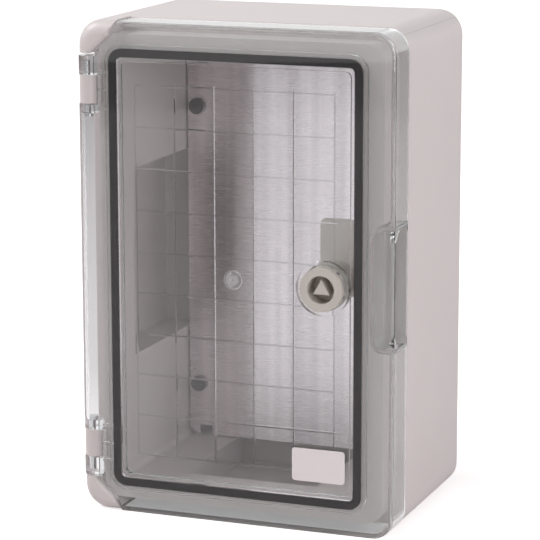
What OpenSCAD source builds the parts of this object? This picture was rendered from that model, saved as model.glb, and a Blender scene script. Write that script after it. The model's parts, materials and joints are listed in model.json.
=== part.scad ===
// Plastic wall cabinet with a clear hinged door, a quarter-turn lock and a steel mounting plate.
// Millimetres. X runs along the width, Z is up, and the wall is the plane y = 0 behind the case.
// The origin is the middle of the four wall holes, on the back plane. The door faces -Y.

/* [Case] */
// Width of the case
width = 200; // [180:5:260]
// Height of the case
height = 300; // [270:5:400]
// Depth from the wall to the front face of the door
depth = 130; // [115:5:200]
// Thickness of the moulded walls
wall = 3; // [2.5:0.25:3.5]
// Radius of the case's four corners, seen from the front
corner_r = 15; // [12:1:18]
// Radius of the edge along the back of the case
back_edge_r = 2; // [1:0.25:2.25]
// Radius of the case's front edge, beside the door
front_edge_r = 1; // [0.5:0.25:1.5]
// From the case's side in to the inside of the tub
tub_inset_x = 24.5; // [24:0.5:30]
// From the case's top and bottom in to the inside of the tub
tub_inset_z = 20.5; // [20:0.5:26]
// Radius of the tub's inner corners
tub_r = 4; // [3:0.5:6]
// Thickness of the ribs between the tub and the outer skin
rib_t = 2.5; // [2:0.25:3]
// Height of the cable recesses in the two sides, where only the outer skin is left
recess_h = 115; // [100:1:130]
// Width of the cable recesses in the top and bottom
recess_w = 85; // [70:1:92]

/* [Rim] */
// From the door's front face back to the shoulder that the skirt closes on
shoulder_d = 25.5; // [23:0.5:30]
// From the door's front face back to the flat face of the rim
rim_d = 7; // [7:0.25:9]
// Step from the case's side in to the rim, on the lock side
rim_step_x = 8.7; // [8:0.1:10]
// Step from the case's top and bottom in to the rim
rim_step_z = 8; // [7:0.25:9]
// Radius of the rim's corners
rim_r = 10; // [8:0.5:12]

/* [Door] */
// Thickness of the clear front panel
door_t = 3; // [2.5:0.25:3.5]
// Thickness of the skirt around the panel
skirt_t = 3; // [2:0.25:3.25]
// How far the door's sides stay inside the case's sides
door_inset = 0.5; // [0.25:0.25:1]
// Gap between the skirt's edge and the shoulder
skirt_gap = 0.5; // [0.2:0.1:1]
// Radius of the door's corners on the lock side
door_r = 13; // [10:0.5:15]
// Radius of the front edge of the door
door_edge_r = 2; // [1:0.25:2.5]
// Thickness of the two ribs beside the gasket
seal_rib_t = 2.2; // [1.5:0.1:3]
// Height of the two ribs beside the gasket
seal_rib_h = 3.5; // [2.5:0.25:3.75]
// Radius of the window's corners, inside the inner rib
window_r = 3.5; // [0.6:0.1:4]
// Pitch of the drilling grid moulded into the window
grid_pitch = 25; // [20:5:50]
// Width of a grid line, a groove with slanted sides
grid_line = 1.3; // [0.8:0.1:1.6]
// Depth of a grid line
grid_cut = 0.15; // [0.1:0.05:0.4]
// Least distance from the window's border to the grid
grid_margin = 7; // [5:0.5:12]
// Radius of the round moulding mark in the middle of the window
gate_r = 5.5; // [4:0.5:7]
// Width of the moulding mark's ring
gate_w = 1.6; // [1:0.1:2.5]
// Depth of the moulding mark
gate_cut = 0.5; // [0.2:0.1:0.8]

/* [Gasket] */
// Width of the gasket
gasket_w = 5; // [4:0.5:6]
// Thickness of the gasket, from the panel to the tub's edge
gasket_t = 2.5; // [2:0.25:3]
// Clearance between the gasket and the ribs beside it
gasket_gap = 0.3; // [0.2:0.1:0.5]

/* [Finger grip] */
// Height of the finger recess in the door's edge
grip_h = 70; // [60:1:90]
// How far the recess goes in from the door's side
grip_in = 12.5; // [11:0.25:13]
// Wall around the recess
grip_wall = 2.5; // [2:0.25:3]
// Corner radius of the recess
grip_r = 5.5; // [4:0.5:8]
// Gap between the recess and the rim behind it
grip_gap = 1; // [0.8:0.1:1.5]
// Thickness of the recess's floor, flush with the skirt's edge
grip_floor_t = 2; // [1.5:0.25:2.5]
// Radius of the corners of the recess's mouth, beside the panel
grip_mouth_r = 10; // [6:0.5:14]

/* [Hinges] */
// Radius of the hinge barrels, and of the door's rolled edge
hinge_r = 6; // [5.5:0.25:6.5]
// From the case's top or bottom to the outer end of a hinge
hinge_inset = 21.5; // [21:0.5:26]
// Length of the outer door lug
lug_outer = 11.2; // [8:0.2:14]
// Length of the case's knuckle
knuckle_h = 17; // [14:0.5:24]
// Length of the inner door lug
lug_inner = 5.4; // [4:0.2:8]
// Gap between a lug and the knuckle
lug_gap = 0.3; // [0.2:0.05:0.5]
// Gap between the hinge barrels and the rim beside them
barrel_gap = 1; // [0.8:0.1:1.5]
// How much smaller the case's knuckle is than the door's lugs
knuckle_step = 0.4; // [0.2:0.1:0.6]
// Gap between the knuckle's web and the door's panel beside it
web_gap = 0.5; // [0.3:0.1:1]
// Thickness of the ribs behind the lugs
lug_rib_t = 1.6; // [1.2:0.1:2]
// Height of the ribs behind the lugs
lug_rib_h = 2.5; // [1.5:0.25:2.5]
// Radius of a hinge pin
pin_r = 2; // [1.5:0.1:2.5]
// Clearance of a pin in the knuckle
pin_clear = 0.06; // [0.03:0.01:0.1]
// Radius of a pin's head
pin_head_r = 2.9; // [2.6:0.1:3.5]
// Height of a pin's head
pin_head_h = 2.2; // [1.5:0.1:3]

/* [Ears] */
// Height of the case's two corner ears
ear_h = 20; // [18:0.5:20]
// Width of an ear at its hinge end
ear_low_w = 8.5; // [7.5:0.25:9.5]
// Width of an ear at the bend in its slanted side
ear_mid_w = 20.5; // [19:0.5:22]
// From an ear's hinge end to the bend
ear_mid_h = 11; // [10:0.5:13]
// Width of an ear at the case's top or bottom
ear_top_w = 24.5; // [23:0.5:28]
// Radius of an ear's outer front edge
ear_edge_r = 8; // [5:0.5:9]
// Radius of an ear's front edge beside the door
ear_soft_r = 2.5; // [1.5:0.25:3]
// How far that rounding stops short of running smoothly into the ear's side
ear_soft_over = 0.06; // [0.04:0.01:0.1]
// Gap between an ear and the door's slanted corner
ear_gap = 2.25; // [2:0.25:3.5]
// Gap between an ear's side and the door's corner when the door lies fully open
swing_gap = 1; // [0.8:0.1:2]
// Gap between an ear and the outer door lug beside it
ear_lug_gap = 1.3; // [1:0.1:2]

/* [Lock] */
// From the inside of the tub to the lock's axis
lock_inset = 18; // [17.5:0.25:24]
// Radius of the lock's head
lock_head_r = 13; // [12:0.25:13.5]
// How far the head stands out from the door
lock_head_h = 8; // [7:0.5:10]
// Radius of the lock's body behind the head
lock_body_r = 10; // [9:0.25:11]
// Clearance of the lock's body in the door
lock_fit = 0.2; // [0.1:0.05:0.4]
// Radius of the round recess in the head
key_recess_r = 8.25; // [7.5:0.25:8.5]
// Depth of the round recess, through the head into the body
key_recess_d = 12; // [10:0.25:12.5]
// Side of the triangular key post
key_side = 10; // [8:0.5:12]
// How far the triangular key post stays behind the head's face
key_post_drop = 1.1; // [0.5:0.1:2]
// Radius of the turning core
core_r = 6; // [5:0.25:7]
// Clearance of the core in the body
core_clear = 0.06; // [0.03:0.01:0.1]
// Radius of the clear collar moulded around the head
collar_r = 16.2; // [15.5:0.1:18]
// Gap between the head and the collar
collar_gap = 0.4; // [0.3:0.05:0.6]
// Height of the clear collar
collar_h = 5.5; // [4:0.25:7]
// Radius of the lock nut's flange
nut_flange_r = 13.8; // [13:0.1:14]
// Thickness of the lock nut's flange
nut_flange_t = 2; // [1.5:0.25:3]
// Size of the lock nut across its flats
nut_flats = 23.5; // [22:0.25:24]
// Thickness of the lock nut's hexagon
nut_h = 5; // [4:0.25:7]
// Thickness of the seal under the lock's head
seal_t = 0.8; // [0.6:0.1:1.2]
// Length of the tongue from the axis
tongue_l = 35; // [33:0.25:35]
// Width of the tongue
tongue_w = 26; // [22:0.5:26]
// Thickness of the tongue
tongue_t = 4; // [3:0.25:4.5]
// Corner radius at the tongue's end
tongue_r = 3; // [2:0.5:5]
// Gap between the tongue and the catch
catch_gap = 0.4; // [0.3:0.1:0.6]
// Gap between the lock's body and the tongue
tongue_gap = 0.2; // [0.1:0.05:0.3]
// Side of the square that turns the tongue
square_side = 7.4; // [6:0.2:8]
// Thickness of the core's flange at the bottom of the recess
flange_t = 1.4; // [1:0.1:2]
// Clearance of the flange in the recess
flange_gap = 0.15; // [0.1:0.05:0.3]
// From the panel's back to the O-ring's groove
groove_from = 4; // [3:0.5:6]
// Width of the O-ring's groove
groove_w = 2; // [1.6:0.1:2.4]
// Depth of the O-ring's groove
groove_cut = 1.3; // [1.2:0.05:1.5]
// Radius of the O-ring's cord
oring_r = 0.62; // [0.5:0.02:0.64]
// Radius of the thread of the screw that holds the tongue
tongue_screw_r = 2; // [1.5:0.25:2.5]
// Length of that screw under its washer
tongue_screw_l = 9; // [7:0.5:12]
// Radius of that screw's head
tongue_head_r = 4; // [3.2:0.2:4.4]
// Height of that screw's head
tongue_head_h = 2.6; // [2:0.1:3]
// Radius of the washer behind the tongue
washer_r = 7.5; // [6.5:0.25:9]
// Thickness of the washer behind the tongue
washer_t = 1; // [0.8:0.1:1.5]
// Clearance of the washer on its screw
washer_fit = 0.2; // [0.1:0.05:0.3]
// Spare depth of a screw's hole
hole_spare = 1; // [0.5:0.25:2]

/* [Mounting plate] */
// Gap between the plate and the tub's side walls
plate_side_gap = 1; // [0.5:0.25:8]
// Gap between the plate's upper edge and the tub
plate_top_gap = 11; // [1:0.5:20]
// Gap between the plate's lower edge and the tub
plate_low_gap = 1; // [0.5:0.25:8]
// Thickness of the plate
plate_t = 2; // [1:0.25:3]
// From the wall to the front face of the plate
plate_stand = 18; // [17:1:45]
// Corner cut of the plate
plate_chamfer = 4; // [2:0.5:6]
// From the plate's sides in to its screws
plate_screw_side = 6.5; // [5.5:0.5:12]
// From the plate's upper and lower edges in to its screws
plate_screw_end = 33.5; // [20:0.5:50]
// Radius of the plate screws' thread
plate_screw_r = 2; // [1.5:0.25:2.5]
// Radius of the plate screws' head
plate_head_r = 5; // [4:0.25:5.5]
// Height of the plate screws' head
plate_head_h = 2.4; // [1.5:0.1:3]
// Length of the plate screws under the head
plate_screw_l = 10; // [8:0.5:12]
// Radius of the posts that carry the plate
post_r = 6.5; // [5.5:0.25:7]
// Radius of the brass insert in a post
insert_r = 3.4; // [3:0.1:4]
// Length of the brass insert
insert_l = 8; // [6:0.5:10]
// Clearance of a screw in the plate
plate_fit = 0.4; // [0.2:0.1:0.6]
// Width of the notches in the plate's ends, in line with the wall holes
notch_w = 8.6; // [8:0.2:12]
// Depth of the notches in the plate's ends
notch_h = 6; // [5:0.5:9]
// Width and depth of the cross in a screw's head
cross_w = 1; // [0.8:0.1:1.2]

/* [Wall holes] */
// From the tub's side walls in to the wall holes
wall_hole_side = 12; // [10:0.5:25]
// From the tub's top and bottom in to the wall holes
wall_hole_end = 8; // [6:0.5:16]
// Radius of a wall hole
wall_hole_r = 3.25; // [2:0.25:3.5]

/* [Label] */
// Width of the blank label
label_w = 33; // [25:1:40]
// Height of the blank label
label_h = 20; // [15:1:25]
// Thickness of the blank label
label_t = 0.3; // [0.2:0.05:0.5]
// From the window's right border to the label
label_side = 2; // [1:0.5:10]
// From the window's lower border to the label
label_low = 8; // [4:0.5:20]
// Corner radius of the label
label_r = 2; // [1:0.25:4]

/* [Hidden] */
$fn = 64;
eps = 0.5;

case_x = width / 2;
case_z = height / 2;
tub_x = case_x - tub_inset_x;
tub_z = case_z - tub_inset_z;
bead_d = door_t + gasket_t;
rib_x = (tub_x + recess_w / 2) / 2;
rib_z = (tub_z + recess_h / 2) / 2;

rim_x = case_x - rim_step_x;
rim_z = case_z - rim_step_z;
hinge_x = -case_x + hinge_r;
hinge_d = hinge_r;
rim_hinge_x = hinge_x + hinge_r + barrel_gap;
knuckle_notch_x = rim_hinge_x + web_gap;

door_x = case_x - door_inset;
door_z = case_z - door_inset;
skirt_end = shoulder_d - skirt_gap;

seal_x = tub_x + wall / 2;
seal_z = tub_z + wall / 2;
seal_mid_r = tub_r + wall / 2;
seal_half = gasket_w / 2;
rib_in_off = -seal_half - gasket_gap - seal_rib_t;
rib_out_off = seal_half + gasket_gap + seal_rib_t;
window_x = seal_x + rib_in_off;
window_z = seal_z + rib_in_off;
grid_cols = floor(2 * (window_x - grid_margin) / grid_pitch);
grid_rows = floor(2 * (window_z - grid_margin) / grid_pitch);

grip_x = door_x - grip_in;
grip_half = grip_h / 2;

hinge_top = case_z - hinge_inset;
knuckle_top = hinge_top - lug_outer - lug_gap;
knuckle_low = knuckle_top - knuckle_h;
lug_in_top = knuckle_low - lug_gap;
lug_in_low = lug_in_top - lug_inner;
ear_low = case_z - ear_h;
ear_side = [[-case_x + ear_low_w, ear_low], [-case_x + ear_mid_w, ear_low + ear_mid_h],
            [-case_x + ear_top_w, case_z]];
swing_x = 2 * hinge_x + case_x + swing_gap;
ear_end = shoulder_d + front_edge_r + eps;

lock_x = tub_x - lock_inset;
catch_d = shoulder_d + wall;
tongue_d = catch_d + catch_gap;
tongue_end = tongue_d + tongue_t;
body_end = tongue_d - tongue_gap;
groove_d = door_t + groove_from;
groove_r = core_r - groove_cut;
oring_gap = 0.02;
screw_tip = tongue_end + washer_t - tongue_screw_l;

plate_w = 2 * (tub_x - plate_side_gap);
plate_h = 2 * tub_z - plate_top_gap - plate_low_gap;
plate_drop = (plate_top_gap - plate_low_gap) / 2;
plate_hole_x = plate_w - 2 * plate_screw_side;
plate_hole_z = plate_h - 2 * plate_screw_end;
plate_front = depth - plate_stand;
plate_back = plate_front + plate_t;
floor_d = depth - wall;
boss_hole_d = plate_back + max(insert_l, plate_screw_l - plate_t) + hole_spare;
wall_hole_x = 2 * (tub_x - wall_hole_side);
wall_hole_z = 2 * (tub_z - wall_hole_end);
label_x = window_x - label_side - label_w;
label_z = -window_z + label_low;

// Frames

// Stretches a flat shape, drawn as seen from the front, between two depths behind the door's face
module from_front(d0, d1) {
    translate([0, d1 - depth, 0])
        rotate([90, 0, 0])
            linear_extrude(d1 - d0)
                children();
}

// A round bar along Y between two depths
module bar(x, z, r, d0, d1) {
    translate([x, d1 - depth, z])
        rotate([90, 0, 0])
            cylinder(r = r, h = d1 - d0);
}

module at_hinge() {
    translate([hinge_x, hinge_d - depth, 0])
        children();
}

module at_corners(dx, dz) {
    for (sx = [-1, 1], sz = [-1, 1])
        translate([sx * dx, sz * dz])
            children();
}

module top_and_bottom() {
    children();
    mirror([0, 0, 1])
        children();
}

// Flat shapes

module span(x0, z0, x1, z1) {
    translate([x0, z0])
        square([x1 - x0, z1 - z0]);
}

module round_span(x0, z0, x1, z1, r) {
    span(x0 + r, z0, x1 - r, z1);
    span(x0, z0 + r, x1, z1 - r);
    for (x = [x0 + r, x1 - r], z = [z0 + r, z1 - r])
        translate([x, z])
            circle(r);
}

module round_frame(hx, hz, r) {
    round_span(-hx, -hz, hx, hz, r);
}

// A ring that runs along the seal, from one offset to another, with a least radius inside
module seal_ring(inner, outer, least = 0) {
    difference() {
        round_frame(seal_x + outer, seal_z + outer, seal_mid_r + outer);
        round_frame(seal_x + inner, seal_z + inner, max(seal_mid_r + inner, least));
    }
}

// A block with rounded end edges

// Half section of the block's border: a strip as wide as the corner, with its far edge rounded,
// and its near edge too where a radius is given
module border_section(corner, length, edge, near) {
    difference() {
        square([corner, length]);
        translate([corner - edge, length - edge])
            difference() {
                square(edge + eps);
                circle(edge);
            }
        if (near > 0)
            translate([corner - near, near])
                difference() {
                    translate([0, -near - eps])
                        square(near + eps);
                    circle(near);
                }
    }
}

// The block stands on z = 0, half sizes hx and hz, with the rounded edge around its top
module soft_block(hx, hz, corner, length, edge, near) {
    lx = hx - corner;
    lz = hz - corner;
    translate([-lx, -lz, 0])
        cube([2 * lx, 2 * lz, length]);
    for (a = [0, 180])
        rotate(a) {
            translate([lx, lz, 0])
                rotate([90, 0, 0])
                    linear_extrude(2 * lz)
                        border_section(corner, length, edge, near);
            translate([-lx, lz, 0])
                rotate([90, 0, 90])
                    linear_extrude(2 * lx)
                        border_section(corner, length, edge, near);
            translate([lx, lz, 0])
                rotate_extrude(angle = 90)
                    border_section(corner, length, edge, near);
            translate([-lx, lz, 0])
                rotate(90)
                    rotate_extrude(angle = 90)
                        border_section(corner, length, edge, near);
        }
}

module soft_front(hx, hz, corner, d0, d1, edge) {
    translate([0, d1 - depth, 0])
        rotate([90, 0, 0])
            soft_block(hx, hz, corner, d1 - d0, edge, 0);
}

module soft_back(hx, hz, corner, d0, d1, edge, near) {
    translate([0, d0 - depth, 0])
        mirror([0, 1, 0])
            rotate([90, 0, 0])
                soft_block(hx, hz, corner, d1 - d0, edge, near);
}

// Case

module tub_outer() {
    round_frame(tub_x + wall, tub_z + wall, tub_r + wall);
}

// The finger recess as the rim sees it, grown by a margin
module grip_shape(margin, reach) {
    round_span(grip_x - margin, -grip_half - margin, reach, grip_half + margin, grip_r + margin);
}

module rim_outline(shrink) {
    difference() {
        round_span(rim_hinge_x + shrink, -rim_z + shrink, rim_x - shrink, rim_z - shrink, rim_r - shrink);
        grip_shape(grip_wall + grip_gap + shrink, width);
    }
}

module ear_outline(grow) {
    polygon([[-case_x - eps, ear_low], ear_side[0], ear_side[1], ear_side[2],
             [ear_side[2][0], case_z + grow], [-case_x - eps, case_z + grow]]);
}

module ear_hollow() {
    polygon([[-case_x + wall, ear_low + wall], ear_side[0] + [-wall / 2, wall], ear_side[1] - [sqrt(2) * wall, 0],
             ear_side[2] - [2 * wall, wall], [-case_x + corner_r, case_z - wall],
             [-case_x + wall, case_z - corner_r]]);
}

// What an ear loses where its front edge is rounded along one straight side
module ear_edge_cut(start, end) {
    run = end - start;
    translate([start[0], -depth, start[1]])
        rotate([0, -atan2(run[1], run[0]), 0])
            translate([-2 * ear_soft_r, 0, 0])
                rotate([90, 0, 90])
                    linear_extrude(norm(run) + 4 * ear_soft_r)
                        difference() {
                            translate([-eps, -eps])
                                square(ear_soft_r + eps);
                            translate([ear_soft_r, ear_soft_r])
                                circle(ear_soft_r + ear_soft_over);
                        }
}

module skin_ribs() {
    for (sx = [-1, 1], z = [-rib_z, rib_z])
        span(sx > 0 ? tub_x : -case_x, z - rib_t / 2, sx > 0 ? case_x : -tub_x, z + rib_t / 2);
    for (sz = [-1, 1], x = [-rib_x, rib_x])
        span(x - rib_t / 2, sz > 0 ? tub_z : -case_z, x + rib_t / 2, sz > 0 ? case_z : -tub_z);
}

// The cable recesses in the four walls of the tub, which reach out to the outer skin.
// The one beside the lock also takes the tongue, which catches behind the shoulder.
module recess_shape(grow) {
    span(-case_x + wall, -recess_h / 2 - grow, case_x - wall, recess_h / 2 + grow);
    span(-recess_w / 2 - grow, -case_z + wall, recess_w / 2 + grow, case_z - wall);
}

module knuckle_solid() {
    translate([hinge_x, hinge_d - depth, knuckle_low])
        cylinder(r = hinge_r - knuckle_step, h = knuckle_h);
    translate([hinge_x - hinge_r / 2, hinge_d - depth, knuckle_low])
        cube([rim_hinge_x - hinge_x + hinge_r / 2 + wall / 2, shoulder_d - hinge_d + eps, knuckle_h]);
}

module knuckle_bore() {
    at_hinge()
        translate([0, 0, knuckle_low - eps])
            cylinder(r = pin_r + pin_clear, h = knuckle_h + 2 * eps);
}

module case_blocks() {
    soft_back(case_x, case_z, corner_r, shoulder_d, depth, back_edge_r, front_edge_r);
    from_front(rim_d, shoulder_d + eps)
        rim_outline(0);
    from_front(bead_d, rim_d + eps)
        tub_outer();
    top_and_bottom() {
        difference() {
            intersection() {
                soft_front(case_x, case_z, corner_r, 0, ear_end, ear_edge_r);
                from_front(-eps, ear_end + eps)
                    ear_outline(eps);
            }
            ear_edge_cut(ear_side[0], ear_side[1]);
            ear_edge_cut(ear_side[1], ear_side[2]);
        }
        knuckle_solid();
    }
}

module case_hollows() {
    from_front(bead_d - eps, floor_d)
        round_frame(tub_x, tub_z, tub_r);
    from_front(rim_d + wall, catch_d + eps)
        difference() {
            rim_outline(wall);
            tub_outer();
            difference() {
                recess_shape(wall);
                recess_shape(0);
            }
            span(tub_x, -grip_half - 2 * wall, width, grip_half + 2 * wall);
        }
    from_front(catch_d, floor_d)
        recess_shape(0);
    from_front(catch_d, depth + eps)
        difference() {
            round_frame(case_x - wall, case_z - wall, corner_r - wall);
            tub_outer();
            recess_shape(wall);
            skin_ribs();
        }
    top_and_bottom() {
        from_front(ear_edge_r + wall, catch_d + eps)
            ear_hollow();
        knuckle_bore();
    }
}

module case_shell() {
    color([0.78, 0.76, 0.74])
        difference() {
            union() {
                difference() {
                    case_blocks();
                    case_hollows();
                }
                from_front(plate_back, floor_d + eps)
                    translate([0, -plate_drop])
                        at_corners(plate_hole_x / 2, plate_hole_z / 2)
                            circle(post_r);
            }
            from_front(plate_back - eps, boss_hole_d)
                translate([0, -plate_drop])
                    at_corners(plate_hole_x / 2, plate_hole_z / 2)
                        circle(insert_r);
            from_front(floor_d - eps, depth + eps)
                at_corners(wall_hole_x / 2, wall_hole_z / 2)
                    circle(wall_hole_r);
        }
}

// Mounting plate

module plate_outline() {
    hx = plate_w / 2;
    hz = plate_h / 2;
    c = plate_chamfer;
    polygon([[-hx + c, -hz], [hx - c, -hz], [hx, -hz + c], [hx, hz - c],
             [hx - c, hz], [-hx + c, hz], [-hx, hz - c], [-hx, -hz + c]]);
}

module mounting_plate() {
    color([0.72, 0.72, 0.73])
        from_front(plate_front, plate_back)
            translate([0, -plate_drop])
                difference() {
                    plate_outline();
                    at_corners(plate_hole_x / 2, plate_hole_z / 2)
                        circle(plate_screw_r + plate_fit);
                    at_corners(wall_hole_x / 2, plate_h / 2)
                        span(-notch_w / 2, -notch_h, notch_w / 2, notch_h);
                }
}

// The cross of a screw's head, cut from the depth d of the head's face
module cross_slot(x, d, length) {
    for (a = [0, 90])
        translate([x, d - depth, 0])
            rotate([0, a, 0])
                cube([length, 2 * cross_w, cross_w], center = true);
}

module plate_screw() {
    bar(0, 0, plate_screw_r, plate_front - eps, plate_front + plate_screw_l);
    difference() {
        bar(0, 0, plate_head_r, plate_front - plate_head_h, plate_front);
        cross_slot(0, plate_front - plate_head_h, plate_head_r);
    }
}

module plate_screws() {
    color([0.23, 0.22, 0.22])
        for (sx = [-1, 1], sz = [-1, 1])
            translate([sx * plate_hole_x / 2, 0, sz * plate_hole_z / 2 - plate_drop])
                plate_screw();
}

module plate_inserts() {
    color([0.72, 0.57, 0.28])
        from_front(plate_back, plate_back + insert_l)
            translate([0, -plate_drop])
                at_corners(plate_hole_x / 2, plate_hole_z / 2)
                    difference() {
                        circle(insert_r);
                        circle(plate_screw_r);
                    }
}

// Door

// The slanted corner that leaves room for an ear, closed and when the door lies open
module ear_clearance() {
    low = ear_low - ear_lug_gap;
    gap = [ear_gap, 0];
    for (sz = [-1, 1])
        scale([1, sz]) {
            polygon([[-width, ear_low], ear_side[0] + gap, ear_side[1] + gap, ear_side[2] + gap,
                     2 * ear_side[2] - ear_side[1] + gap, [-width, height]]);
            span(-width, low, swing_x, height);
        }
}

module knuckle_notch() {
    from_front(-eps, door_t + seal_rib_h + eps)
        for (sz = [-1, 1])
            scale([1, sz])
                span(-width, knuckle_low - lug_gap, knuckle_notch_x, knuckle_top + lug_gap);
}

// The mouth of the finger recess, through the skirt
module grip_mouth() {
    translate([door_x - skirt_t - eps, -depth, 0])
        rotate([90, 0, 90])
            linear_extrude(skirt_t + 2 * eps)
                round_span(door_t, -grip_half, skirt_end + 2 * grip_mouth_r, grip_half, grip_mouth_r);
}

module door_tray() {
    difference() {
        intersection() {
            soft_front(door_x, door_z, door_r, 0, skirt_end, door_edge_r);
            from_front(-eps, skirt_end + eps)
                span(hinge_x, -height, width, height);
        }
        from_front(door_t, skirt_end + eps)
            round_span(-width, -door_z + skirt_t, door_x - skirt_t, door_z - skirt_t, door_r - skirt_t);
        grip_mouth();
        from_front(-eps, skirt_end + eps)
            ear_clearance();
    }
}

module grip_walls() {
    from_front(door_t - eps, skirt_end)
        difference() {
            intersection() {
                grip_shape(grip_wall, width);
                span(0, -height, door_x - skirt_t + eps, height);
            }
            grip_shape(0, width);
        }
    from_front(skirt_end - grip_floor_t, skirt_end)
        intersection() {
            grip_shape(grip_wall, width);
            span(0, -height, door_x, height);
        }
}

// The door's hinge edge rolls back over the hinge line
module rolled_edge() {
    at_hinge()
        translate([0, 0, -hinge_top])
            linear_extrude(2 * hinge_top)
                intersection() {
                    difference() {
                        circle(hinge_r);
                        circle(hinge_r - door_t);
                    }
                    translate([-hinge_r, -hinge_r])
                        square([hinge_r, hinge_r]);
                }
}

module door_lugs() {
    top_and_bottom()
        at_hinge()
            for (part = [[knuckle_top + lug_gap, hinge_top], [lug_in_low, lug_in_top]])
                translate([0, 0, part[0]])
                    cylinder(r = hinge_r, h = part[1] - part[0]);
}

module lug_bores() {
    top_and_bottom()
        at_hinge()
            for (part = [[knuckle_top - eps, hinge_top - wall], [lug_in_low - eps, lug_in_top + eps]])
                translate([0, 0, part[0]])
                    cylinder(r = pin_r, h = part[1] - part[0]);
}

// Short ribs tie the lugs to the gasket's outer rib
module lug_ribs() {
    x1 = -seal_x - seal_half - gasket_gap - eps;
    mid = (knuckle_low + knuckle_top) / 2;
    from_front(door_t - eps, door_t + lug_rib_h)
        for (sz = [-1, 1], z = [knuckle_top + lug_gap + lug_rib_t, mid, lug_in_top - lug_inner / 2])
            span(knuckle_notch_x, sz * z - lug_rib_t / 2, x1, sz * z + lug_rib_t / 2);
}

// Section of a groove with slanted sides, cut down from y = 0
module groove_section(w, cut) {
    spread = w / 2 * (cut + eps) / cut;
    polygon([[-spread, eps], [0, -cut], [spread, eps]]);
}

module drilling_grid() {
    w = grid_cols * grid_pitch;
    h = grid_rows * grid_pitch;
    for (i = [0 : grid_cols])
        translate([i * grid_pitch - w / 2, door_t - depth, -h / 2 - grid_line])
            linear_extrude(h + 2 * grid_line)
                groove_section(grid_line, grid_cut);
    for (j = [0 : grid_rows])
        translate([-w / 2 - grid_line, door_t - depth, j * grid_pitch - h / 2])
            rotate([0, 90, 0])
                linear_extrude(w + 2 * grid_line)
                    groove_section(grid_line, grid_cut);
}

// A ring and a dimple in the middle of the panel's front
module gate_mark() {
    translate([0, -depth, 0])
        rotate([90, 0, 0])
            rotate_extrude() {
                translate([gate_r - gate_w / 2, 0])
                    groove_section(gate_w, gate_cut);
                polygon([[0, -gate_cut], [gate_w / 4, -gate_cut], [gate_w / 2, eps], [0, eps]]);
            }
}

module door_panel() {
    color([0.72, 0.76, 0.76, 0.45])
        difference() {
            union() {
                difference() {
                    union() {
                        door_tray();
                        rolled_edge();
                    }
                    knuckle_notch();
                    drilling_grid();
                    gate_mark();
                }
                grip_walls();
                from_front(door_t - eps, door_t + seal_rib_h) {
                    seal_ring(rib_in_off, rib_in_off + seal_rib_t, window_r);
                    seal_ring(rib_out_off - seal_rib_t, rib_out_off);
                }
                door_lugs();
                lug_ribs();
                bar(lock_x, 0, collar_r, -collar_h, eps);
            }
            lug_bores();
            bar(lock_x, 0, lock_head_r + collar_gap, -collar_h - eps, 0);
            bar(lock_x, 0, lock_body_r + lock_fit, -eps, door_t + eps);
        }
}

module door_gasket() {
    color([0.08, 0.08, 0.09])
        from_front(door_t, bead_d)
            seal_ring(-seal_half, seal_half);
}

module hinge_pin() {
    at_hinge() {
        translate([0, 0, lug_in_low - eps])
            cylinder(r = pin_r, h = hinge_top - wall - lug_in_low + eps);
        translate([0, 0, lug_in_low - pin_head_h])
            cylinder(r = pin_head_r, h = pin_head_h);
    }
}

module hinge_pin_top() {
    color([0.75, 0.75, 0.76])
        hinge_pin();
}

module hinge_pin_bottom() {
    color([0.75, 0.75, 0.76])
        mirror([0, 0, 1])
            hinge_pin();
}

module label_blank() {
    color([0.93, 0.93, 0.92])
        from_front(-label_t, 0)
            round_span(label_x, label_z, label_x + label_w, label_z + label_h, label_r);
}

// Lock

module lock_housing() {
    color([0.73, 0.71, 0.68])
        difference() {
            union() {
                bar(lock_x, 0, lock_head_r, -lock_head_h, -seal_t);
                bar(lock_x, 0, lock_body_r, -seal_t - eps, body_end);
            }
            bar(lock_x, 0, key_recess_r, -lock_head_h - eps, -lock_head_h + key_recess_d);
            bar(lock_x, 0, core_r + core_clear, -lock_head_h, body_end + eps);
        }
}

module lock_seal() {
    color([0.1, 0.1, 0.1])
        from_front(-seal_t, 0)
            translate([lock_x, 0])
                difference() {
                    circle(lock_head_r - collar_gap);
                    circle(lock_body_r);
                }
}

module lock_nut() {
    color([0.80, 0.79, 0.77])
        difference() {
            union() {
                bar(lock_x, 0, nut_flange_r, door_t, door_t + nut_flange_t);
                from_front(door_t + nut_flange_t, door_t + nut_flange_t + nut_h)
                    translate([lock_x, 0])
                        intersection_for(a = [0, 60, 120])
                            rotate(a)
                                square([nut_flats, nut_flats * 2], center = true);
            }
            bar(lock_x, 0, lock_body_r, door_t - eps, door_t + nut_flange_t + nut_h + eps);
        }
}

module lock_core() {
    floor_front = -lock_head_h + key_recess_d - tongue_gap / 2;
    flange_front = floor_front - flange_t;
    reach = key_side / sqrt(3);
    color([0.80, 0.78, 0.75])
        difference() {
            union() {
                bar(lock_x, 0, core_r, flange_front, tongue_d);
                bar(lock_x, 0, key_recess_r - flange_gap, flange_front, floor_front);
                from_front(-lock_head_h + key_post_drop, flange_front + eps)
                    translate([lock_x, 0])
                        polygon([for (a = [90, 210, 330]) reach * [cos(a), sin(a)]]);
                from_front(tongue_d - eps, tongue_end)
                    translate([lock_x, 0])
                        square(square_side, center = true);
            }
            difference() {
                bar(lock_x, 0, core_r + eps, groove_d, groove_d + groove_w);
                bar(lock_x, 0, groove_r, groove_d - eps, groove_d + groove_w + eps);
            }
            bar(lock_x, 0, tongue_screw_r, screw_tip - hole_spare, tongue_end + eps);
        }
}

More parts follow.
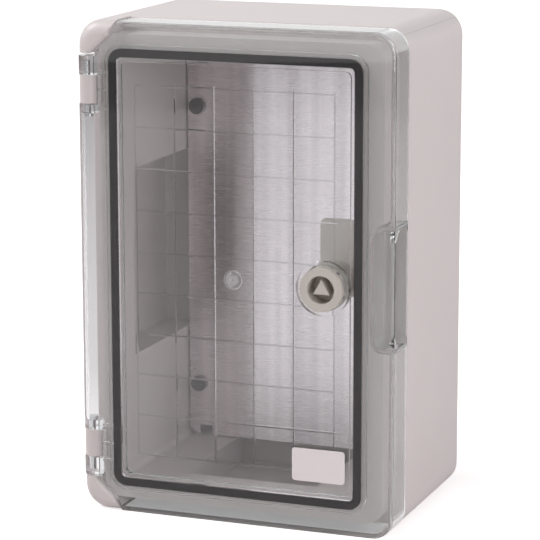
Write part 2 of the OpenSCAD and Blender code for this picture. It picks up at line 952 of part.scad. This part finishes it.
module core_oring() {
    color([0.06, 0.06, 0.06])
        translate([lock_x, groove_d + groove_w / 2 - depth, 0])
            rotate([90, 0, 0])
                rotate_extrude()
                    translate([groove_r + oring_r + oring_gap, 0])
                        circle(oring_r);
}

module lock_tongue() {
    half = tongue_w / 2;
    color([0.80, 0.79, 0.77])
        from_front(tongue_d, tongue_end)
            translate([lock_x, 0])
                difference() {
                    union() {
                        circle(half);
                        span(-half, 0, half, tongue_l - tongue_r);
                        span(-half + tongue_r, 0, half - tongue_r, tongue_l);
                        for (sx = [-1, 1])
                            translate([sx * (half - tongue_r), tongue_l - tongue_r])
                                circle(tongue_r);
                    }
                    square(square_side, center = true);
                }
}

module tongue_washer() {
    color([0.74, 0.74, 0.75])
        from_front(tongue_end, tongue_end + washer_t)
            translate([lock_x, 0])
                difference() {
                    circle(washer_r);
                    circle(tongue_screw_r + washer_fit);
                }
}

module tongue_screw() {
    head_d = tongue_end + washer_t;
    color([0.70, 0.70, 0.71])
        difference() {
            union() {
                bar(lock_x, 0, tongue_screw_r, screw_tip, head_d + eps);
                bar(lock_x, 0, tongue_head_r, head_d, head_d + tongue_head_h);
            }
            cross_slot(lock_x, head_d + tongue_head_h, tongue_head_r);
        }
}

case_shell();
mounting_plate();
plate_screws();
plate_inserts();
door_panel();
door_gasket();
hinge_pin_top();
hinge_pin_bottom();
label_blank();
lock_housing();
lock_seal();
lock_nut();
lock_core();
core_oring();
lock_tongue();
tongue_washer();
tongue_screw();
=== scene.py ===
# %% [markdown]
# # A wall cabinet with a clear door
# This notebook dresses a plastic electrical cabinet: a grey case, a clear door on two hinge pins, a
# quarter-turn lock and a steel plate inside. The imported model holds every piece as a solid, in metres, with
# the wall behind it at y = 0, the door facing -Y and Z up. What is left to do here is what a solid can't
# carry: the finishes, a plain studio and the camera.

# %% Load the frame
import json
import math

import bmesh
import bpy
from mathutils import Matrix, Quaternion, Vector


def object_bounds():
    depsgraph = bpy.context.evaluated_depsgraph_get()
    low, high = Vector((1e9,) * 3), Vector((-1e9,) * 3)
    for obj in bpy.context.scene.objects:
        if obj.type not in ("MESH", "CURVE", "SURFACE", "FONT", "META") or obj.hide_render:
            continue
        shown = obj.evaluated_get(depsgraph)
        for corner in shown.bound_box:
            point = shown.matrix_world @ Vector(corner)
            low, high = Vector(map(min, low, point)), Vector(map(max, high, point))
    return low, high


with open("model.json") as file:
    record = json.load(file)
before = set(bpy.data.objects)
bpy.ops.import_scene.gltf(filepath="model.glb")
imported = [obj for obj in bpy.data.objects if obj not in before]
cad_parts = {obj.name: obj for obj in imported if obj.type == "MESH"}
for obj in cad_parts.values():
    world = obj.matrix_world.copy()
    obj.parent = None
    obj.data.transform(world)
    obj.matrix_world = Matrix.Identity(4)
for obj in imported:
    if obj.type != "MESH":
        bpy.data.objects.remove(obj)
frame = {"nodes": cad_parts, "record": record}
nodes = frame["nodes"]
cad_low, cad_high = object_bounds()
mm = 0.001
print("cad box", tuple(cad_low), tuple(cad_high))

# %% [markdown]
# ## Camera
# A product picture is taken from far away with a long lens, so that the sides of a box stay nearly
# parallel. The camera is set by the point that it looks at, its turn to the right, its height above the
# horizon and its distance, because those four read more easily than a rotation matrix.

# %% Camera
aim_point = Vector((0.0199, -0.1213, 0.0059))
camera_turn = math.radians(20.97)
camera_rise = math.radians(11.87)
camera_roll = math.radians(-0.1)
camera_distance = 1.526
camera_lens = 172.96
camera_sensor = 36.0


def away(turn, rise):
    """Unit vector from the object to a point at that turn to the right and that height."""
    flat = math.cos(rise)
    return Vector((math.sin(turn) * flat, -math.cos(turn) * flat, math.sin(rise)))


camera = bpy.data.objects.new("camera", bpy.data.cameras.new("camera"))
bpy.context.scene.collection.objects.link(camera)
camera.data.lens = camera_lens
camera.data.sensor_width = camera_sensor
camera.location = aim_point + camera_distance * away(camera_turn, camera_rise)
camera.rotation_mode = "QUATERNION"
look = (aim_point - camera.location).to_track_quat("-Z", "Y")
camera.rotation_quaternion = look @ Quaternion((0, 0, 1), camera_roll)
bpy.context.scene.camera = camera
print("camera at", tuple(round(x, 4) for x in camera.location))

# %% [markdown]
# ## A short way to write shaders
# A material is a net of nodes. It could be written as a list of links, but sums and products read better,
# so one small class holds a node's output, and the usual operators on it add Math nodes. Every other node
# comes from its one method, which sets the node's options first and then its sockets.

# %% Sockets as values


class Wire:
    """One output in a material's node tree."""

    def __init__(self, tree, socket):
        self.tree = tree
        self.socket = socket

    def node(self, kind, options=None, inputs=None, output=0):
        """Adds a node of that kind and gives back one of its outputs."""
        made = self.tree.nodes.new(kind)
        for name, value in (options or {}).items():
            setattr(made, name, value)
        for name, value in (inputs or {}).items():
            plug(self.tree, made.inputs[name], value)
        return Wire(self.tree, made.outputs[output])

    def math(self, operation, first, second):
        return self.node("ShaderNodeMath", {"operation": operation}, {0: first, 1: second})

    def __add__(self, other):
        return self.math("ADD", self, other)

    def __radd__(self, other):
        return self.math("ADD", other, self)

    def __sub__(self, other):
        return self.math("SUBTRACT", self, other)

    def __rsub__(self, other):
        return self.math("SUBTRACT", other, self)

    def __mul__(self, other):
        return self.math("MULTIPLY", self, other)

    def __rmul__(self, other):
        return self.math("MULTIPLY", other, self)

    def absolute(self):
        return self.math("ABSOLUTE", self, 0.0)

    def root(self):
        return self.math("SQRT", self, 0.0)

    def larger(self, other):
        return self.math("MAXIMUM", self, other)

    def below(self, limit):
        """1 where the value is below the limit, and 0 elsewhere."""
        return self.math("LESS_THAN", self, limit)

    def above(self, limit):
        """1 where the value is above the limit, and 0 elsewhere."""
        return self.math("GREATER_THAN", self, limit)


def plug(tree, socket, value):
    """Links a wire to a socket, or sets the socket to a plain value."""
    if isinstance(value, Wire):
        tree.links.new(value.socket, socket)
    elif isinstance(value, tuple) and len(value) == 3 and socket.type == "RGBA":
        socket.default_value = (*value, 1.0)
    else:
        socket.default_value = value


print("sockets act as values")

# %% [markdown]
# ## Colours, patterns and relief
# Colours are given as on a screen, but shaders take linear light, so one function turns the first into the
# second. Patterns read Object coordinates: a piece sits at the origin with its place in its mesh, so those
# are metres in the shared frame, and a mark can be put at a known place without unwrapping anything.

# %% Material helpers


def srgb(red, green, blue):
    """A screen colour, from 0 to 255, as the linear values that shaders use."""
    def linear(value):
        share = value / 255
        return share / 12.92 if share <= 0.04045 else ((share + 0.055) / 1.055) ** 2.4
    return (linear(red), linear(green), linear(blue))


def shade(tone, share):
    """A colour with only a share of its light."""
    return tuple(share * x for x in tone)


def start(name):
    """A new material, its shader and its Object coordinates."""
    material = bpy.data.materials.new(name)
    material.use_nodes = True
    tree = material.node_tree
    shader = tree.nodes["Principled BSDF"]
    place = Wire(tree, tree.nodes.new("ShaderNodeTexCoord").outputs["Object"])
    return material, shader, place


def finish(shader, **values):
    """Sets the shader's sockets. Base_Color stands for Base Color, and so on."""
    for name, value in values.items():
        plug(shader.id_data, shader.inputs[name.replace("_", " ")], value)


def noise(place, scale, detail=2.0, stretch=None):
    """Noise from 0 to 1 on the object's own coordinates, in features per metre."""
    if stretch:
        place = place.node("ShaderNodeMapping", None, {"Vector": place, "Scale": stretch})
    return place.node("ShaderNodeTexNoise", None, {"Vector": place, "Scale": scale, "Detail": detail})


def axes(place):
    """The three coordinates of a place."""
    split = place.node("ShaderNodeSeparateXYZ", None, {0: place}).socket.node
    return [Wire(place.tree, socket) for socket in split.outputs]


def blend(share, first, second):
    """A colour between two colours."""
    inputs = {0: share, 6: first, 7: second}
    return share.node("ShaderNodeMix", {"data_type": "RGBA"}, inputs, output=2)


def bump(height, strength, distance):
    """A surface direction that follows a height."""
    inputs = {"Strength": strength, "Distance": distance, "Height": height}
    return height.node("ShaderNodeBump", None, inputs)


print("material helpers ready")

# %% [markdown]
# ## Moulded plastic
# The case, the lock and the label are satin plastics. A mould is spark-eroded, so its parts have a fine
# grain. The grain could be a picture, but noise costs nothing and has no seams: a slow one moves the tone
# by a hair, and a fine one gives the gloss its grain and is the relief as well.

# %% Moulded plastic
cloud_scale = 14.0
cloud_detail = 3.0
grain_scale = 2600.0
grain_strength = 0.35
grain_in_gloss = 0.08
# Painted shade: the share of light left in the tone on a mark's crease.
crease_painted_shade = 0.82
mark_depth = 3.0


def moulded_plastic(name, light, dark, rough, grain_depth, mark=None):
    """Satin plastic. A mark from 0 to 1 sinks the surface a little and darkens the tone there as painted
    shade.
    """
    material, shader, place = start(name)
    clouds = noise(place, cloud_scale, cloud_detail)
    grain = noise(place, grain_scale)
    tone = blend(clouds, dark, light)
    height = grain
    if mark:
        marked = mark(place)
        # The darker tone on the mark is painted shade; the sunk height below is real relief.
        tone = blend(marked, tone, shade(dark, crease_painted_shade))
        height = grain - mark_depth * marked
    finish(
        shader,
        Base_Color=tone,
        Roughness=rough + grain_in_gloss * (grain - 0.5),
        Normal=bump(height, grain_strength, grain_depth),
    )
    return material


print("moulded plastic ready")

# %% [markdown]
# ## The case
# The case is a warm light grey. The slides of its mould meet along the middle of each outer corner and
# leave a fine line from front to back. Cutting it into the solid would take sliver faces, so it is a mark
# in the finish: it sinks the surface a little, and its darker tone is painted shade in that crease. On that
# line, a point is farther from the middle in Z than in X by a fixed step.

# %% Case plastic
case_light = srgb(213, 204, 204)
case_dark = srgb(207, 198, 198)
case_rough = 0.40
case_grain = 0.03 * mm
corner_step = 50 * mm
corner_reach = 93 * mm
parting_half = 0.35 * mm


def parting_line_and_shade(place):
    """1 on the mould's line along the middle of each outer corner, which is sunk and given painted shade."""
    x, _, z = axes(place)
    across = x.absolute()
    upward = z.absolute()
    from_line = (upward - across - corner_step).absolute()
    return from_line.below(parting_half) * across.above(corner_reach)


case_plastic = moulded_plastic("case_plastic", case_light, case_dark, case_rough, case_grain, parting_line_and_shade)
print("made", case_plastic.name)

# %% [markdown]
# ## The drilling grid in the door
# The grid on the window's back is scribed, and its grooves are in the solid. The finish tints the same lines
# darker, as painted shade for the light that their sides turn away. A ping-pong of the coordinate gives the
# distance to the nearest line, which needs one node where a loop over the lines would need many.

# %% Grid lines
grid_pitch = 25 * mm
grid_columns = 5
grid_rows = 9
line_half = 0.6 * mm
upright_share = 0.5
window_middle = -128.5 * mm


def near_line(along, across, lines, across_half):
    """1 on the middle of a grid line, 0 beside it and past the line's ends."""
    half = grid_pitch * lines / 2
    to_line = along.math("PINGPONG", along + half, grid_pitch / 2)
    in_rows = along.absolute().below(half + line_half)
    in_length = across.absolute().below(across_half)
    return to_line.below(line_half) * in_rows * in_length


def grid_shade_lines(place):
    """Painted shade: 1 on the level lines and less on the upright ones of the grid in the window's back."""
    x, y, z = axes(place)
    upright_lines = near_line(x, z, grid_columns, grid_pitch * grid_rows / 2)
    level_lines = near_line(z, x, grid_rows, grid_pitch * grid_columns / 2)
    return y.above(window_middle) * (upright_share * upright_lines).larger(level_lines)


print("grid of", grid_columns, "by", grid_rows, "cells")

# %% [markdown]
# ## The moulding mark
# The plastic came in at the middle of the window's front. A rough spot is left there, in a ring that is
# dull where the nozzle sat. The solid has the ring's groove, and the finish adds what is too fine for it:
# relief in the spot and a rougher gloss on the ring.

# %% Moulding mark
gate_radius = 3.4 * mm
ring_radius = 5.6 * mm
ring_half = 0.4 * mm
scar_scale = 900.0
scar_detail = 3.0


def from_gate(place):
    """Distance from the window's middle on its front, and a metre more on its back."""
    x, y, z = axes(place)
    return y.above(window_middle) + (x * x + z * z).root()


def gate_scar(place):
    """Relief of the rough spot."""
    return from_gate(place).below(gate_radius) * noise(place, scar_scale, scar_detail)


def gate_ring(place):
    """1 on the dull ring round the spot."""
    return (from_gate(place) - ring_radius).absolute().below(ring_half)


print("moulding mark", round(2 * ring_radius, 4), "m across")

# %% [markdown]
# ## The clear door
# The door is clear polycarbonate. It bends light as glass does, with a higher index, and has a faint smoky
# tint. Lamps would not get through a refracting wall directly, so for their rays, and for light that walls
# throw at each other, the door is a tinted clear film. Scuffs from handling make its gloss uneven. Light
# that is caught between two faces bounces often before it gets out, so the ray paths may be long.

# %% Clear polycarbonate
clear_tint = srgb(233, 235, 236)
# Painted shade: the clear tint on the grid's grooves.
groove_painted_shade = srgb(203, 206, 206)
film_tint = srgb(244, 245, 244)
polycarbonate_index = 1.58
scuff_scale = 90.0
scuff_detail = 4.0
scuff_rough = 0.05
ring_rough = 0.5
scar_height = 1.2 * mm
most_bounces = 24


def of_ray(wire, name):
    """1 for rays of that kind, and 0 for others."""
    return wire.node("ShaderNodeLightPath", None, None, name)


def clear_plastic(name):
    material, shader, place = start(name)
    tree = shader.id_data
    scuffs = noise(place, scuff_scale, scuff_detail)
    finish(
        shader,
        # The darker tint on the grid lines is painted shade in the grooves.
        Base_Color=blend(grid_shade_lines(place), clear_tint, groove_painted_shade),
        Roughness=scuff_rough * scuffs * scuffs + ring_rough * gate_ring(place),
        Normal=bump(gate_scar(place), 1.0, scar_height),
        IOR=polycarbonate_index,
        Transmission_Weight=1.0,
    )
    film = place.node("ShaderNodeBsdfTransparent", None, {"Color": film_tint})
    clear = Wire(tree, shader.outputs[0])
    for ray in ("Is Diffuse Ray", "Is Shadow Ray"):
        clear = place.node("ShaderNodeMixShader", None, {0: of_ray(place, ray), 1: clear, 2: film})
    plug(tree, tree.nodes["Material Output"].inputs["Surface"], clear)
    return material


clear_door = clear_plastic("clear_door")
paths = bpy.context.scene.cycles
paths.max_bounces = most_bounces
paths.glossy_bounces = most_bounces
paths.transmission_bounces = most_bounces
print("made", clear_door.name, "with", most_bounces, "bounces")

# %% [markdown]
# ## The mounting plate
# The plate is brushed sheet, with its scratches running from side to side, so that a reflection is drawn
# out up and down and stays sharp across. Anisotropic gloss, turned a quarter, gives that without showing
# every scratch. Noise that is long in X and fine in Z leaves the faint marks of the brush, in tone, gloss
# and relief, and a noise that is long in Z paints upright bands of reflection into the tone, as a sheet that
# isn't quite flat would mirror its surroundings.

# %% Brushed sheet
sheet_light = srgb(255, 247, 250)
sheet_dark = srgb(214, 205, 209)
along_brush = (0.04, 1.0, 1.0)
upright = (1.0, 1.0, 0.02)
scratch_scale = 1300.0
band_scale = 75.0
sheet_detail = 4.0
scratch_share = 0.1
# Painted reflection: how strongly the upright bands move the tone.
painted_band_share = 2.6
dark_share = 0.8
sheet_rough = 0.25
scratch_rough = 0.04
scratch_strength = 0.12
scratch_depth = 0.02 * mm
quarter_turn = 0.25


def brushed_sheet(name):
    material, shader, place = start(name)
    scratches = noise(place, scratch_scale, sheet_detail, along_brush)
    painted_reflection_bands = noise(place, band_scale, sheet_detail, upright)
    # The upright bands in this tone are painted reflection; the scratches are the brush's own marks.
    brightness = scratch_share * scratches + painted_band_share * painted_reflection_bands - dark_share
    finish(
        shader,
        Base_Color=blend(brightness, sheet_dark, sheet_light),
        Metallic=1.0,
        Roughness=sheet_rough + scratch_rough * scratches,
        Anisotropic=1.0,
        Anisotropic_Rotation=quarter_turn,
        Normal=bump(scratches, scratch_strength, scratch_depth),
    )
    return material


plate_steel = brushed_sheet("plate_steel")
print("made", plate_steel.name)

# %% [markdown]
# ## Pins, screws and inserts
# The pins, the washer and the tongue's screw are bright plated steel, and the inserts are turned brass.
# They are small, so one noise is enough for the tone, gloss and relief that turning leaves. The plate's
# screws have a dark satin coat, which is closer to the moulded finish than to bare metal.

# %% Small metals
steel_light = srgb(214, 213, 214)
steel_dark = srgb(186, 185, 187)
steel_rough = 0.18
brass_light = srgb(214, 184, 116)
brass_dark = srgb(184, 150, 84)
brass_rough = 0.26
screw_light = srgb(84, 76, 78)
screw_dark = srgb(70, 63, 65)
screw_rough = 0.38
screw_grain = 0.03 * mm
turned_scale = 900.0
turned_stretch = (1.0, 1.0, 3.0)
turned_rough = 0.12
turned_strength = 0.2
turned_depth = 0.02 * mm


def turned_metal(name, light, dark, rough):
    material, shader, place = start(name)
    turned = noise(place, turned_scale, stretch=turned_stretch)
    finish(
        shader,
        Base_Color=blend(turned, dark, light),
        Metallic=1.0,
        Roughness=rough + turned_rough * turned,
        Normal=bump(turned, turned_strength, turned_depth),
    )
    return material


bright_steel = turned_metal("bright_steel", steel_light, steel_dark, steel_rough)
insert_brass = turned_metal("insert_brass", brass_light, brass_dark, brass_rough)
dark_screw = moulded_plastic("dark_screw", screw_light, screw_dark, screw_rough, screw_grain)
print("made", bright_steel.name, insert_brass.name, dark_screw.name)

# %% [markdown]
# ## Gasket and seals
# The gasket is foamed in place, so its skin is matt and slightly lumpy. The seals in the lock are moulded
# rubber, with finer and flatter lumps. The hollows are darker than the crests as painted shade, so the same
# noise makes both the relief and the tone.

# %% Foam and rubber
foam_tone = srgb(33, 22, 28)
foam_scale = 700.0
foam_depth = 0.1 * mm
rubber_tone = srgb(40, 40, 41)
rubber_scale = 1500.0
rubber_depth = 0.03 * mm
lump_detail = 3.0
hollow_shade = 0.7
hollow_rough = 0.55
crest_rough = 0.2
lump_strength = 0.5


def rubber(name, tone, scale, depth):
    material, shader, place = start(name)
    lumps = noise(place, scale, lump_detail)
    finish(
        shader,
        # The darker tone in the hollows is painted shade.
        Base_Color=blend(lumps, shade(tone, hollow_shade), tone),
        Roughness=hollow_rough + crest_rough * lumps,
        Normal=bump(lumps, lump_strength, depth),
    )
    return material


black_foam = rubber("black_foam", foam_tone, foam_scale, foam_depth)
black_rubber = rubber("black_rubber", rubber_tone, rubber_scale, rubber_depth)
print("made", black_foam.name, black_rubber.name)

# %% [markdown]
# ## Lock and label
# The lock's housing, core and nut are the same warm grey, with a slightly duller core and nut. Its tongue
# is a paler plastic, which shows behind the door. The label is a blank white film, smoother than the rest.
# All four are the moulded finish with other tones, so no new shader is needed.

# %% Lock plastics and label
lock_light = srgb(200, 193, 186)
lock_dark = srgb(194, 187, 180)
lock_rough = 0.34
core_rough = 0.36
lock_grain = 0.02 * mm
tongue_light = srgb(234, 227, 222)
tongue_dark = srgb(229, 222, 217)
label_light = srgb(236, 227, 228)
label_dark = srgb(232, 223, 224)
label_rough = 0.32
label_grain = 0.005 * mm

lock_plastic = moulded_plastic("lock_plastic", lock_light, lock_dark, lock_rough, lock_grain)
pale_plastic = moulded_plastic("pale_plastic", lock_light, lock_dark, core_rough, lock_grain)
tongue_plastic = moulded_plastic("tongue_plastic", tongue_light, tongue_dark, core_rough, lock_grain)
label_film = moulded_plastic("label_film", label_light, label_dark, label_rough, label_grain)
print("made", lock_plastic.name, pale_plastic.name, tongue_plastic.name, label_film.name)

# %% [markdown]
# ## Dress the solids
# A node whose shape is right keeps its mesh and only changes its material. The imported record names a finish
# for each node, so one table from finish to material is enough, with the tongue as the one exception.

# %% Dress the solids
finishes = {
    "case_plastic": case_plastic,
    "clear_door": clear_door,
    "black_foam": black_foam,
    "black_rubber": black_rubber,
    "plate_steel": plate_steel,
    "bright_steel": bright_steel,
    "dark_screw": dark_screw,
    "insert_brass": insert_brass,
    "lock_plastic": lock_plastic,
    "pale_plastic": pale_plastic,
    "label_film": label_film,
}
own_finishes = {"lock_tongue": tongue_plastic}

for part in frame["record"]["subparts"]:
    name = part["node"]
    slot = part["material_slot"]
    piece = nodes[name]
    piece.data.materials.clear()
    piece.data.materials.append(own_finishes.get(name, finishes[slot]))
print("dressed", len(nodes), "nodes")

# %% [markdown]
# ## Floor
# The cabinet stands on a pale matt floor, which keeps its shadow. One flat face is enough, so large that
# its edges lie outside the picture.

# %% Floor
floor_half = 6.0
floor_tone = (0.82, 0.775, 0.78)
floor_rough = 0.9

floor_shape = bmesh.new()
bmesh.ops.create_grid(floor_shape, x_segments=1, y_segments=1, size=floor_half)
bmesh.ops.translate(floor_shape, vec=(0, 0, cad_low.z), verts=floor_shape.verts)
floor_mesh = bpy.data.meshes.new("floor")
floor_shape.to_mesh(floor_mesh)
floor_shape.free()
floor = bpy.data.objects.new("floor", floor_mesh)
bpy.context.scene.collection.objects.link(floor)

floor_paint, floor_shader, floor_place = start("floor_paint")
finish(floor_shader, Base_Color=floor_tone, Roughness=floor_rough)
floor_mesh.materials.append(floor_paint)
print("floor at z", round(cad_low.z, 4))

# %% [markdown]
# ## The floor's glow
# A white background could come from stronger lamps, but they would bleach the cabinet too. So the floor
# also glows, for the rays that show it as a background and not as a light. The camera sees a glow that is
# weak by the cabinet, where the shadow lies, and stronger farther off. Mirrors see a weak one, and the
# clear door one that is strongest in front of it, as from a lit table top.

# %% The floor's glow
black = (0.0, 0.0, 0.0)
white = (1.0, 1.0, 1.0)
under_foot = (0.0, 0.0, 0.0)
near_glow = 0.42
far_glow = 0.90
near_reach = 0.12
far_reach = 0.36
glow_in_gloss = 0.15
before_door = (0.0, -0.35, cad_low.z)
near_through = 0.45
far_through = 0.05
through_start = 0.30
through_end = 0.60


def background_ray(wire):
    """1 for rays from the camera, from a mirror or through clear plastic."""
    mirrored = of_ray(wire, "Is Glossy Ray")
    through = of_ray(wire, "Is Transmission Ray")
    return mirrored.larger(through).larger(of_ray(wire, "Is Camera Ray"))


def faded(place, spot, start_reach, end_reach, near, far):
    """A glow that goes from one level near a spot to another farther away."""
    off = place.node("ShaderNodeVectorMath", {"operation": "DISTANCE"}, {0: place, 1: spot}, "Value")
    inputs = {"Value": off, "From Min": start_reach, "From Max": end_reach, "To Min": near, "To Max": far}
    return place.node("ShaderNodeMapRange", None, inputs)


seen_glow = faded(floor_place, under_foot, near_reach, far_reach, near_glow, far_glow)
through_glow = faded(floor_place, before_door, through_start, through_end, near_through, far_through)
glow = glow_in_gloss * background_ray(floor_place)
glow = glow + (seen_glow - glow_in_gloss) * of_ray(floor_place, "Is Camera Ray")
glow = glow + (through_glow - glow_in_gloss) * of_ray(floor_place, "Is Transmission Ray")
finish(floor_shader, Emission_Color=blend(glow, black, white), Emission_Strength=1.0)
print("floor glows from", near_glow, "to", far_glow)

# %% [markdown]
# ## World
# The surroundings are white for whatever looks at them, which is the camera, the metal and the clear door.
# As a light they are much weaker, because an even light from all sides would take away every shadow.

# %% World
sky_light = 0.22

world = bpy.data.worlds.new("studio")
world.use_nodes = True
bpy.context.scene.world = world
sky = world.node_tree.nodes["Background"]
sky_wire = Wire(world.node_tree, sky.outputs[0])
sky_strength = sky_light + (1 - sky_light) * background_ray(sky_wire)
plug(world.node_tree, sky.inputs["Color"], white)
plug(world.node_tree, sky.inputs["Strength"], sky_strength)
print("made", world.name)

# %% [markdown]
# ## Lamps
# A strong soft box on the left grazes the front, so that the seal throws its shadow to the right. With a
# weak one overhead it makes the top the brightest face. One on the right front lights that side and the
# inner wall beside the hinges. Two weak ones open the right edge and give the plate something to mirror,
# and a small one lights the back.

# %% Lamps
lamp_distance = 1.7
box_side = 0.8
small_side = 0.4


def soft_box(name, turn, rise, power, side=box_side):
    """A square lamp that faces the object, at that turn and height in degrees."""
    lamp = bpy.data.lights.new(name, "AREA")
    lamp.size = side
    lamp.energy = power
    holder = bpy.data.objects.new(name, lamp)
    bpy.context.scene.collection.objects.link(holder)
    back = away(math.radians(turn), math.radians(rise))
    holder.location = aim_point + lamp_distance * back
    holder.rotation_mode = "QUATERNION"
    holder.rotation_quaternion = (-back).to_track_quat("-Z", "Y")


soft_box("left_box", turn=-75, rise=43, power=19.0)
soft_box("top_box", turn=0, rise=85, power=3.0)
soft_box("right_box", turn=60, rise=10, power=9.8)
soft_box("rim_box", turn=100, rise=40, power=5.3)
soft_box("front_box", turn=-20, rise=10, power=1.4)
soft_box("back_box", turn=180, rise=0, power=4.0, side=small_side)

# %% [markdown]
# ## View settings
# The Standard view shows colours as they are written.

# %% Finish
bpy.context.scene.view_settings.view_transform = "Standard"
